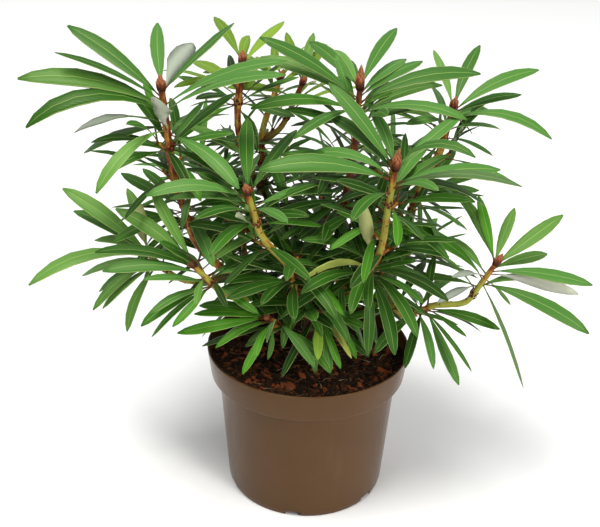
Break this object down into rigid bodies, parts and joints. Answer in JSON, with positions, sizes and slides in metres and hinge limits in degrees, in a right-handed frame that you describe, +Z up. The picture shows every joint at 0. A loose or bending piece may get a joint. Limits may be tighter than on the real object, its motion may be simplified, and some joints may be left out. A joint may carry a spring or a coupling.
{
  "type": "potted rhododendron",
  "caption": "Young bushy rhododendron with long narrow leaves in whorls on bare woody boughs, standing in a round brown nursery pot filled with compost.",
  "frame": {"origin": "centre of the pot's flat underside", "axes": "+Z up along the pot's axis, -Y towards the plant's front as pictured, +X to the right of the front"},
  "size_m": [0.6028, 0.3685, 0.528],
  "materials": {
    "pot": "satin",
    "soil": "matte",
    "bark": "matte",
    "foliage": "satin"
  },
  "bodies": {
    "root": {"pot": "pot", "soil": "soil", "trunk": "bark", "left_bough": "bark", "upper_left_bough": "bark", "left_front_bough": "bark", "far_left_bough": "bark", "front_bough": "bark", "centre_left_bough": "bark", "low_front_left_bough": "bark", "low_front_bough": "bark", "right_bough": "bark", "upper_right_bough": "bark", "right_front_bough": "bark", "centre_right_bough": "bark", "low_right_bough": "bark", "far_right_bough": "bark", "rear_bough": "bark", "back_upper_bough": "bark", "back_centre_bough": "bark", "back_left_bough": "bark", "centre_bough": "bark", "upper_centre_bough": "bark", "rear_left_inner_bough": "bark", "rear_middle_inner_bough": "bark", "rear_left_bough": "bark", "rear_right_bough": "bark", "rear_middle_bough": "bark", "low_rear_left_bough": "bark", "low_rear_right_bough": "bark", "upper_left": "foliage", "inner_left": "foliage", "centre_left": "foliage", "front_inner": "foliage", "back_left": "foliage", "back_centre": "foliage", "back_upper": "foliage", "rear_inner": "foliage", "upper_centre": "foliage", "centre_inner": "foliage", "centre_right": "foliage", "right_inner": "foliage", "upper_right": "foliage", "right_rear": "foliage", "far_right": "foliage", "low_right": "foliage", "left_front": "foliage", "far_left": "foliage", "low_front_left": "foliage", "low_front": "foliage", "rear_left_inner": "foliage", "rear_middle_inner": "foliage", "rear_left": "foliage", "rear_right": "foliage", "rear_middle": "foliage", "low_rear_left": "foliage", "low_rear_right": "foliage"}
  },
  "joints": []
}
